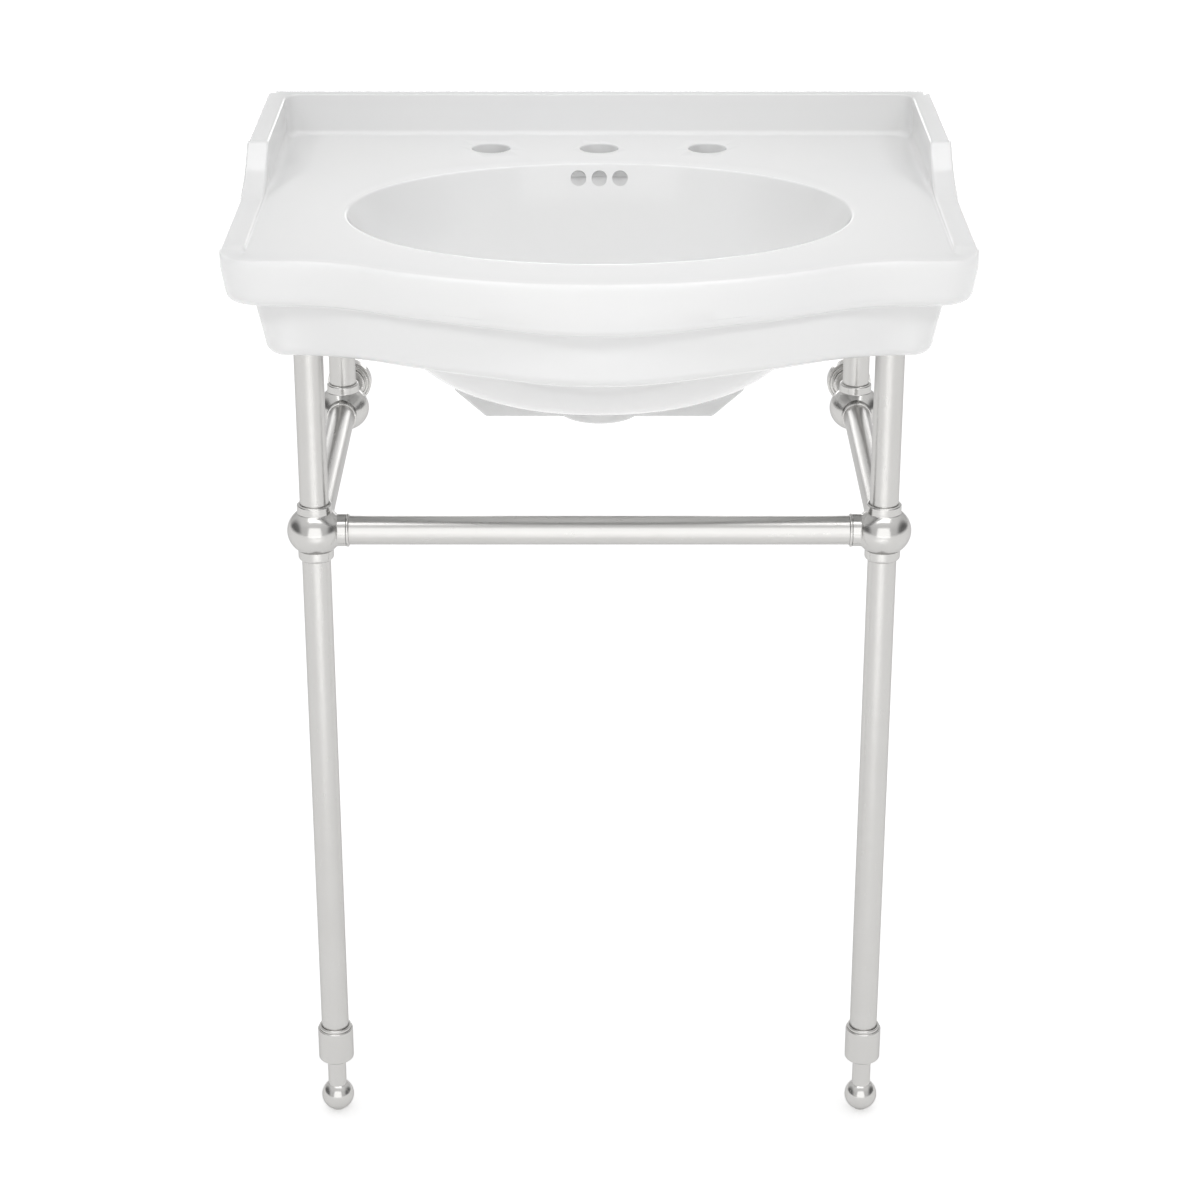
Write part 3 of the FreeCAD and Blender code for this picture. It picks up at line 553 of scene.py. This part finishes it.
def bowlRing(radius, z, squash, angles, roundness):
    w = bowlShape
    shift = -w["drainSetback"] / w["depth"] * z  # the bowl leans back towards its drain
    depth = mixed(squash, 1.0, roundness)
    ring = []
    for angle in angles:
        y = w["middleY"] + depth * radius * math.sin(angle) + shift
        ring.append(Vector((radius * math.cos(angle), y, basinShape["deckZ"] + z)))
    return ring


def circleRing(radius, z, angles):  # round the drain's centre
    middle = Vector((0, bowlShape["drainY"], z))
    return [middle + Vector((radius * math.cos(angle), radius * math.sin(angle), 0)) for angle in angles]


def wholeRing(half):  # mirrors the half ring from the back's middle to the front's middle
    left = [Vector((-point.x, point.y, point.z)) for point in half[1:-1]]
    return half + left[::-1]


def basinTopRings(marks):
    b = basinShape
    side = topProfile(b["wallHeight"], "side", b["sideEdge"])
    blendStart, blendLength = b["cornerBlend"]
    rings = []
    for index in range(len(side)):
        ring = []
        frontRound = max(b["cornerRound"] - side[index][0], b["leastRound"])
        for stretch, share in marks:
            nearby = outlinePoint(stretch, share, side[index][0], 0, 0, 0, frontRound)
            height = wallHeightAt(stretch, nearby[1])
            flat = smoothStep(1 - height / b["ledge"]) if stretch in ("side", "corner") else 1.0
            sidePart = topProfile(height, "side", mixed(b["sideEdge"], b["edgeRound"], flat))[index]
            backPart = topProfile(b["wallHeight"], "back", b["backEdge"])[index]
            frontPart = topProfile(0.0, "side", b["edgeRound"])[index]
            toSide = {"back": 0.0, "backCorner": share}.get(stretch, 1.0)
            z = mixed(backPart[1], sidePart[1], toSide)
            inner = smoothStep((backPart[0] - blendStart) / blendLength)
            backRound = mixed(b["outerCorner"], b["innerCorner"], inner)
            insets = sidePart[0], backPart[0], frontPart[0]
            x, y = outlinePoint(stretch, share, *insets, backRound, frontRound)
            ring.append(Vector((x, y, b["deckZ"] + z)))
        rings.append(wholeRing(ring))
    return rings


def basinOuterRings(marks):
    b = basinShape
    rings = []
    bowHalf = b["halfWidth"] - b["cornerRound"] - b["cornerFlat"]
    for side, back, front, z, crowned in outerBand():
        isRim = side < b["rimRound"] + b["rimDraft"] + b["rimMargin"] and z > b["rimBottomZ"] - b["rimUnder"]
        frontRound = b["cornerRound"] if isRim else b["halfWidth"] - side - bowHalf - b["skirtFlat"]
        ring = []
        for stretch, share in marks:
            x, y = outlinePoint(stretch, share, side, back, front, b["outerCorner"], frontRound)
            ring.append(Vector((x, y, mixed(z, crownedZ(z, x), crowned))))
        rings.append(wholeRing(ring))
    return rings


def basinShell():
    b, w = basinShape, bowlShape
    marks = spokes()
    top = basinTopRings(marks)
    angles = []
    for point in top[-1]:
        angles.append(math.atan2((point.y - w["middleY"]) / w["halfDepth"], point.x / w["halfWidth"]))
    inside, squash = bowlCurve(0.0, w["lip"])
    bowl = []
    for point in inside:
        # oval at the rim and round at the drain
        near = smoothStep((w["roundFrom"] - point.x) / w["roundFade"])
        bowl.append(bowlRing(point.x, point.y, squash, angles, near))
    deck = []
    for share in b["deckShares"]:
        deck.append([outer.lerp(lip, share) for outer, lip in zip(top[-1], bowl[0])])
    floorZ = bowl[-1][0].z
    edge = w["drainEdge"]
    drain = []
    for angle in quarterTurn(steps["small"]):
        radius = w["drainRadius"] + edge * (1 - math.sin(angle))
        drain.append(circleRing(radius, floorZ - edge * (1 - math.cos(angle)), angles))
    under = [circleRing(w["drainRadius"], w["bossZ"], angles)]
    for angle in quarterTurn(steps["small"]):
        radius = w["bossRadius"] - w["bossRound"] * (1 - math.sin(angle))
        under.append(circleRing(radius, w["bossZ"] + w["bossRound"] * (1 - math.cos(angle)), angles))
    outside, outerSquash = bowlCurve(w["wall"], 0)
    bossTop = b["deckZ"] - w["depth"] - w["wall"]
    under.append(circleRing(w["bossRadius"], bossTop + w["bossSink"], angles))
    shell = []
    for point in outside[::-1]:
        if point.x > w["bossRadius"] + w["bossGap"] and b["deckZ"] + point.y < b["deckUnderZ"]:
            near = smoothStep((w["roundFromOutside"] - point.x) / w["roundFade"])
            shell.append(bowlRing(point.x, point.y, outerSquash, angles, near))
    topRadius = outside[0].x - w["outsideTop"]
    shell.append(bowlRing(topRadius, b["deckUnderZ"] - b["deckZ"], outerSquash, angles, 0.0))
    rings = top + deck + bowl + drain + under + shell + basinOuterRings(marks)
    return closedRings(rings, True)


def upright(origin, axis):  # the matrix that stands a shape made along z on an origin, along an axis
    turn = Vector((0, 0, 1)).rotation_difference(Vector(axis)).to_matrix().to_4x4()
    return Matrix.Translation(origin) @ turn


def turnedSolid(points, origin, axis, count):
    # a closed outline of (radius, height) pairs turned about an axis; a zero radius is a pole
    place = upright(origin, axis)
    shape = bmesh.new()
    rows = []
    for radius, height in points:
        if radius == 0:
            rows.append([shape.verts.new(place @ Vector((0, 0, height)))])
            continue
        ring = []
        for index in range(count):
            angle = 2 * math.pi * index / count
            point = Vector((radius * math.cos(angle), radius * math.sin(angle), height))
            ring.append(shape.verts.new(place @ point))
        rows.append(ring)
    for low, high in zip(rows, rows[1:] + rows[:1]):
        for index in range(count):
            after = (index + 1) % count
            corners = [low[index % len(low)], low[after % len(low)]]
            corners += [high[after % len(high)], high[index % len(high)]]
            corners = list(dict.fromkeys(corners))  # a pole gives a triangle
            if len(corners) > 2:
                shape.faces.new(corners)
    bmesh.ops.recalc_face_normals(shape, faces=shape.faces)
    return meshFrom(shape, "turned")


basinHoles = {
    "faucetRadius": 0.0175, "faucetPitch": 0.1016, "faucetY": 0.173, "faucetDepth": 0.03,
    "overflowRadius": 0.0072, "overflowPitch": 0.0191, "overflowDrop": 0.0142, "overflowDepth": 0.0095,
    "boltRadius": 0.0065, "boltX": 0.14, "boltZ": 0.817, "boltDepth": 0.018,
    "mouth": 0.0016, "smallMouth": 0.0008, "baseGap": 0.0002, "reach": 0.01, "sides": 48,
}


def holeCutter(radius, depth, mouth, origin, axis):
    # a pin whose mouth flares, so that the hole it cuts has a rounded edge
    points = [(0.0, -depth), (radius, -depth)]
    for angle in quarterTurn(steps["small"]):
        points.append((radius + mouth * (1 - math.cos(angle)), -mouth * (1 - math.sin(angle))))
    points += [(radius + mouth, basinHoles["reach"]), (0.0, basinHoles["reach"])]
    return makePiece("cutter", turnedSolid(points, origin, axis, basinHoles["sides"]), ceramic)


def buildBasin():
    h = basinHoles
    piece = makePiece("basin_shell", basinShell(), ceramic)
    cutters = []
    for index in (-1, 0, 1):
        place = Vector((index * h["faucetPitch"], h["faucetY"], basinShape["deckZ"]))
        cutters.append(holeCutter(h["faucetRadius"], h["faucetDepth"], h["mouth"], place, (0, 0, 1)))
    lean = math.radians(bowlShape["lean"])
    towards = Vector((0, -math.cos(lean), math.sin(lean)))
    for index in (-1, 0, 1):
        y = bowlShape["middleY"] + bowlShape["halfDepth"]
        mouthAt = Vector((index * h["overflowPitch"], y, basinShape["deckZ"] - h["overflowDrop"]))
        mouthAt += towards * h["overflowDrop"] * math.sin(lean)
        radius, depth = h["overflowRadius"], h["overflowDepth"]
        cutters.append(holeCutter(radius, depth, h["smallMouth"], mouthAt, towards))
    for sign in sideSigns.values():
        place = Vector((sign * h["boltX"], basinShape["wallY"], h["boltZ"]))
        cutters.append(holeCutter(h["boltRadius"], h["boltDepth"], h["smallMouth"], place, (0, 1, 0)))
    cut(piece, cutters)
    shadeByAngle(piece.data, sharpAngles["shell"])
    settle(piece, "console", ["basin"])


baseShape = {
    "half": 0.102, "run": 0.028, "rise": 0.025, "frontSetback": 0.018, "backSetback": 0.0004,
    "wall": 0.012, "bevel": 0.003, "bevelSteps": 3, "topGap": 0.003, "hollowGap": 0.002,
    "bowlReach": 0.02, "bowlSides": 96,
}


def prismMesh(half, low, high, front, back):
    wide = half + baseShape["run"]
    shoulder = low + baseShape["rise"]
    corners = [(-half, low), (half, low), (wide, shoulder), (wide, high), (-wide, high), (-wide, shoulder)]
    rings = [[Vector((x, y, z)) for x, z in corners] for y in (front, back)]
    return closedRings(rings, False)


def buildBase():
    b, w, s, h = basinShape, bowlShape, baseShape, basinHoles
    front = w["drainY"] - s["frontSetback"]
    back = b["wallY"] - s["backSetback"]  # just inside the shell's back face
    block = prismMesh(s["half"], w["bossZ"], b["deckZ"] - s["topGap"], front, back)
    outer = makePiece("basin_base", block, ceramic)
    bevel = outer.modifiers.new("edges", "BEVEL")
    bevel.width = s["bevel"]
    bevel.segments = s["bevelSteps"]
    bevel.limit_method = "ANGLE"
    applyModifiers(outer)
    hollowFront = w["drainY"] + w["bossRadius"]
    hollowBack = b["wallY"] - b["backPanel"]
    low = w["bossZ"] - s["hollowGap"]
    inner = prismMesh(s["half"] - s["wall"], low, b["deckUnderZ"], hollowFront, hollowBack)
    hollow = makePiece("hollow", inner, ceramic)
    curve, squash = bowlCurve(w["wall"] / 2, 0)
    angles = [2 * math.pi * index / s["bowlSides"] for index in range(s["bowlSides"])]
    rings = [bowlRing(curve[0].x, s["bowlReach"], squash, angles, 0.0)]
    rings += [bowlRing(point.x, point.y, squash, angles, 0.0) for point in curve]
    bowl = makePiece("bowlSpace", closedRings(rings, False), ceramic)
    holes = []
    for index in (-1, 0, 1):
        place = Vector((index * h["faucetPitch"], h["faucetY"], b["deckZ"]))
        radius = h["faucetRadius"] + h["baseGap"]
        holes.append(holeCutter(radius, h["faucetDepth"], h["mouth"], place, (0, 0, 1)))
    cut(outer, [hollow, bowl] + holes)
    shadeByAngle(outer.data, sharpAngles["base"])
    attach(outer, "console")


buildBasin()
buildBase()
print("basin: shell and base")


def sizeInput(tree, name, kind="NodeSocketFloat"):
    return tree.interface.new_socket(name=name, in_out="INPUT", socket_type=kind)


def wireUp(tree, kind, settings, values):
    made = tree.nodes.new(kind)
    for key, value in settings.items():
        setattr(made, key, value)
    for key, value in values.items():
        if isinstance(value, bpy.types.NodeSocket):
            tree.links.new(value, made.inputs[key])
        else:
            made.inputs[key].default_value = value
    return made


def treeMaths(tree, operation, first, second):
    return wireUp(tree, "ShaderNodeMath", {"operation": operation}, {0: first, 1: second}).outputs[0]


def tubeTree():
    tree = bpy.data.node_groups.new("tubeRun", "GeometryNodeTree")
    tree.interface.new_socket(name="Geometry", in_out="OUTPUT", socket_type="NodeSocketGeometry")
    for name in ("Outer Radius", "Wall", "Length"):
        sizeInput(tree, name)
    sizeInput(tree, "Finish", "NodeSocketMaterial")
    given = tree.nodes.new("NodeGroupInput").outputs
    half = treeMaths(tree, "MULTIPLY", given["Wall"], 0.5)
    middle = treeMaths(tree, "SUBTRACT", given["Outer Radius"], half)
    path = wireUp(tree, "GeometryNodeCurvePrimitiveCircle", {"mode": "RADIUS"},
                  {"Resolution": tubes["sides"], "Radius": middle})
    section = wireUp(tree, "GeometryNodeCurvePrimitiveQuadrilateral", {"mode": "RECTANGLE"},
                     {"Width": given["Wall"], "Height": given["Length"]})
    swept = wireUp(tree, "GeometryNodeCurveToMesh", {},
                   {"Curve": path.outputs["Curve"], "Profile Curve": section.outputs["Curve"]})
    rise = treeMaths(tree, "MULTIPLY", given["Length"], 0.5)
    offset = wireUp(tree, "ShaderNodeCombineXYZ", {}, {"Z": rise})
    moved = wireUp(tree, "GeometryNodeTransform", {},
                   {"Geometry": swept.outputs["Mesh"], "Translation": offset.outputs[0]})
    real = wireUp(tree, "GeometryNodeRealizeInstances", {}, {"Geometry": moved.outputs["Geometry"]})
    painted = wireUp(tree, "GeometryNodeSetMaterial", {},
                     {"Geometry": real.outputs["Geometry"], "Material": given["Finish"]})
    end = tree.nodes.new("NodeGroupOutput")
    tree.links.new(painted.outputs["Geometry"], end.inputs["Geometry"])
    return tree


def setInput(modifier, name, value):
    for item in modifier.node_group.interface.items_tree:
        if item.name == name and item.in_out == "INPUT":
            modifier[item.identifier] = value


def grown(name, tree, sizes, material, origin, axis):
    # runs a tree on an empty mesh and returns the plain piece, set along an axis
    seed = bpy.data.objects.new(name, bpy.data.meshes.new(name))
    bpy.context.scene.collection.objects.link(seed)
    modifier = seed.modifiers.new("grow", "NODES")
    modifier.node_group = tree
    for key, value in sizes.items():
        setInput(modifier, key, value)
    setInput(modifier, "Finish", material)
    mesh = evaluated(seed)
    bpy.data.objects.remove(seed)
    mesh.transform(upright(origin, axis))
    shape = bmesh.new()
    shape.from_mesh(mesh)
    bmesh.ops.remove_doubles(shape, verts=shape.verts, dist=mergeWithin["tube"])
    bmesh.ops.recalc_face_normals(shape, faces=shape.faces)
    shape.to_mesh(mesh)
    shape.free()
    shadeByAngle(mesh, sharpAngles["tube"])
    return makePiece(name, mesh, material)


tubes = {"radius": 0.0127, "wall": 0.0012, "sides": 96}
# the axis that each tube runs along: 0, 1 or 2 for x, y or z
tubeRuns = {"front_leg_upper": 2, "front_leg_lower": 2, "back_upright": 2, "side_rail": 1, "wall_stub": 1}


def buildTubes():
    tree = tubeTree()
    runs = [("front_rail", 0)]
    for side in sideSigns:
        runs += [(f"{node}_{side}", axis) for node, axis in tubeRuns.items()]
    for node, axis in runs:
        low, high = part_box(node)
        start = (low + high) / 2
        start[axis] = low[axis]
        direction = [0, 0, 0]
        direction[axis] = 1
        sizes = {"Outer Radius": tubes["radius"], "Wall": tubes["wall"], "Length": high[axis] - low[axis]}
        piece = grown(f"{node}_tube", tree, sizes, tubeFinish[axis], start, direction)
        settle(piece, "console", [node])
    return len(runs)


print("tubes:", buildTubes())


fittings = ["front_ball", "back_ball", "front_leg_collar", "back_upright_collar", "lower_leg_collar",
            "front_rail_collar", "side_rail_front_collar", "side_rail_back_collar", "wall_stub_collar",
            "foot_ferrule"]
smallPieces = {
    "foot_insert": (brassFinish, "brass_insert"), "front_top_plug": (plugFinish, "plug_plastic"),
    "back_top_plug": (plugFinish, "plug_plastic"), "front_top_pad": (rubberFinish, "rubber_pad"),
    "back_top_pad": (rubberFinish, "rubber_pad"), "wall_plate": (zincFinish, "zinc_plate"),
    "ball_set_screws": (screwFinish, "screw_steel"),
}


feet = {
    "ball": 0.0152, "flat": 0.0014, "stem": 0.003, "stemTop": 0.0094, "neck": 0.0086, "neckTop": 0.0628,
    "studRoot": 0.0051, "stud": 0.006, "studTop": 0.0988, "pitch": 0.00175, "turns": 18, "edge": 0.0006,
    "ballSteps": 28, "sides": 96,
}


def footProfile():
    f = feet
    start = math.asin((f["flat"] - f["ball"]) / f["ball"])
    end = math.acos(f["neck"] / f["ball"])
    points = [(0.0, f["stemTop"]), (f["stem"], f["stemTop"]), (f["stem"], f["flat"])]
    for step in range(f["ballSteps"] + 1):
        angle = mixed(start, end, step / f["ballSteps"])
        points.append((f["ball"] * math.cos(angle), f["ball"] * (1 + math.sin(angle))))
    points += [(f["neck"], f["neckTop"] - f["edge"]), (f["neck"] - f["edge"], f["neckTop"])]
    base = f["studTop"] - f["pitch"] * (f["turns"] + 0.5)  # where the thread starts
    points += [(f["studRoot"], f["neckTop"]), (f["studRoot"], base)]
    for turn in range(f["turns"]):
        z = base + turn * f["pitch"]
        points += [(f["stud"], z + f["pitch"] / 2), (f["studRoot"], z + f["pitch"])]
    return points + [(f["studRoot"], f["studTop"]), (0.0, f["studTop"])]


def turnedFoot(side):
    low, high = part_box(f"leveling_foot_{side}")
    middle = ((low[0] + high[0]) / 2, (low[1] + high[1]) / 2, 0.0)
    mesh = turnedSolid(footProfile(), middle, (0, 0, 1), feet["sides"])
    shadeByAngle(mesh, sharpAngles["fitting"])
    return makePiece(f"leveling_foot_{side}_finished", mesh, fittingFinish)


def buildFittings():
    for side in sideSigns:
        for node in fittings:
            piece = smoothCopy(f"{node}_{side}", fittingFinish)
            settle(piece, "console", [f"{node}_{side}"])
        for node, (material, slot) in smallPieces.items():
            piece = smoothCopy(f"{node}_{side}", material)
            settle(piece, "console", [f"{node}_{side}"])
        foot = f"leveling_foot_{side}"
        settle(turnedFoot(side), foot, [foot])
        glide = f"foot_glide_{side}"
        settle(smoothCopy(glide, nylonFinish), foot, [glide])
        flange = f"wall_flange_{side}"
        settle(smoothCopy(flange, fittingFinish), flange, [flange])
        screw = f"flange_set_screw_{side}"
        settle(smoothCopy(screw, screwFinish), flange, [screw])


buildFittings()
print("fittings done")


studio = {
    "sky": 0.79, "frontDark": 0.03, "frontBand": (0.25, 0.75), "sideDark": 0.62, "sideBand": (0.74, 0.94),
    "topGlow": 0.14, "topBand": (0.4, 0.85), "frontRise": (0.0, 0.05), "sideRise": (0.0, 0.1),
    "floor": (0.94, 0.94, 0.94, 1), "floorWarm": (0.955, 0.953, 0.95, 1), "floorCloud": 0.6,
    "floorRough": 0.9, "floorGlow": 0.345, "floorHalf": 14.0, "spotSoftness": 0.3,
    "poolPlace": (0.0, -1.75, 2.4), "poolAim": (0.0, -1.75, 0.0), "poolPower": 160.0, "poolAngle": 44.0,
    "bowlLeftPlace": (-1.5, -1.2, 2.4), "bowlLeftAim": (0.1, 0.0, 0.78),
    "bowlRightPlace": (1.5, -1.2, 2.4), "bowlRightAim": (-0.1, 0.0, 0.78),
    "bowlPower": 138.0, "bowlAngle": 16.0,
    "cardPlace": (0.0, -4.0, 1.9), "cardAim": (0.0, 0.0, 1.9), "cardSize": (4.0, 3.8), "cardPower": 45.0,
    "stripPlace": (0.0, -0.1, 3.3), "stripAim": (0.0, -0.11, 0.85),
    "stripSize": (2.6, 2.4), "stripPower": 42.0,
    "behindPlace": (0.0, 6.0, 1.45), "behindAim": (0.0, 0.0, 1.45),
    "behindSize": (5.2, 1.16), "behindPower": 46.0,
}


def buildFloor():
    half = studio["floorHalf"]
    shape = bmesh.new()
    corners = [shape.verts.new((x * half, y * half, 0)) for x, y in ((-1, -1), (1, -1), (1, 1), (-1, 1))]
    shape.faces.new(corners)
    mesh = meshFrom(shape, "floor")
    finish = Finish("paleFloor")
    cloud = finish.noise(finish.place(), studio["floorCloud"], 2.0)
    material = finish.shade({
        "Base Color": finish.mix(cloud, studio["floor"], studio["floorWarm"]),
        "Roughness": studio["floorRough"],
        "Emission Color": (1, 1, 1, 1), "Emission Strength": studio["floorGlow"],
    })
    makePiece("floor", mesh, material)


def buildWorld():  # an even pale sky, darker to the sides and brighter overhead
    world = bpy.data.worlds.new("studio")
    bpy.context.scene.world = world
    finish = Finish("studio", world)
    where = finish.node("ShaderNodeTexCoord", {}, {}, "Generated")
    split = {axis: finish.node("ShaderNodeSeparateXYZ", {}, {"Vector": where}, axis) for axis in "XYZ"}

    def band(value, low, high):
        values = {"Value": value, "From Min": low, "From Max": high}
        return finish.node("ShaderNodeMapRange", {"interpolation_type": "SMOOTHSTEP"}, values)

    toSide = finish.node("ShaderNodeMath", {"operation": "ABSOLUTE"}, {0: split["X"]})
    front = band(split["Y"] * -1.0, *studio["frontBand"]) * band(split["Z"], *studio["frontRise"])
    side = band(toSide, *studio["sideBand"]) * band(split["Z"], *studio["sideRise"])
    top = band(split["Z"], *studio["topBand"])
    dark = front * studio["frontDark"] + side * studio["sideDark"]
    bright = studio["sky"] - dark + top * studio["topGlow"]
    background = world.node_tree.nodes["Background"]
    finish.feed(background.inputs["Strength"], bright)
    background.inputs["Color"].default_value = (1, 1, 1, 1)


def addLamp(name, light, place, aim):
    lamp = bpy.data.objects.new(name, light)
    lamp.location = place
    lamp.rotation_euler = (Vector(aim) - Vector(place)).to_track_quat("-Z", "Y").to_euler()
    bpy.context.scene.collection.objects.link(lamp)
    return lamp


def spotLamp(name, side=""):  # a soft spot that leaves no highlight of its own
    light = bpy.data.lights.new(name + side, "SPOT")
    light.energy = studio[f"{name}Power"]
    light.spot_size = math.radians(studio[f"{name}Angle"])
    light.spot_blend = 1.0
    light.shadow_soft_size = studio["spotSoftness"]
    lamp = addLamp(name + side, light, studio[f"{name}{side}Place"], studio[f"{name}{side}Aim"])
    lamp.visible_glossy = False


def reflectionCard(name):  # seen only in the metal and the glaze
    light = bpy.data.lights.new(name, "AREA")
    light.shape = "RECTANGLE"
    light.size, light.size_y = studio[f"{name}Size"]
    light.energy = studio[f"{name}Power"]
    lamp = addLamp(name, light, studio[f"{name}Place"], studio[f"{name}Aim"])
    lamp.visible_diffuse = False
    lamp.visible_camera = False


cameraView = {
    "place": (0.0, -2.583, 1.5842), "pitch": 66.6, "lens": 90.0, "sensor": 36.0,
    "shift": (0.000625, -0.00042), "farthest": 60,
}


def buildCamera():
    camera = bpy.data.cameras.new("camera")
    camera.lens = cameraView["lens"]
    camera.sensor_width = cameraView["sensor"]
    camera.shift_x, camera.shift_y = cameraView["shift"]
    camera.clip_end = cameraView["farthest"]
    holder = bpy.data.objects.new("camera", camera)
    holder.location = cameraView["place"]
    holder.rotation_euler = Euler((math.radians(cameraView["pitch"]), 0, 0))
    bpy.context.scene.collection.objects.link(holder)
    bpy.context.scene.camera = holder


buildFloor()
buildWorld()
spotLamp("pool")  # lights the floor in front, which the legs reflect as a soft stripe
spotLamp("bowl", "Left")
spotLamp("bowl", "Right")
reflectionCard("card")
reflectionCard("strip")
reflectionCard("behind")  # the bright lines along the basin's edges
buildCamera()
bpy.context.scene.view_settings.view_transform = "Standard"
print("stage, lights and camera")
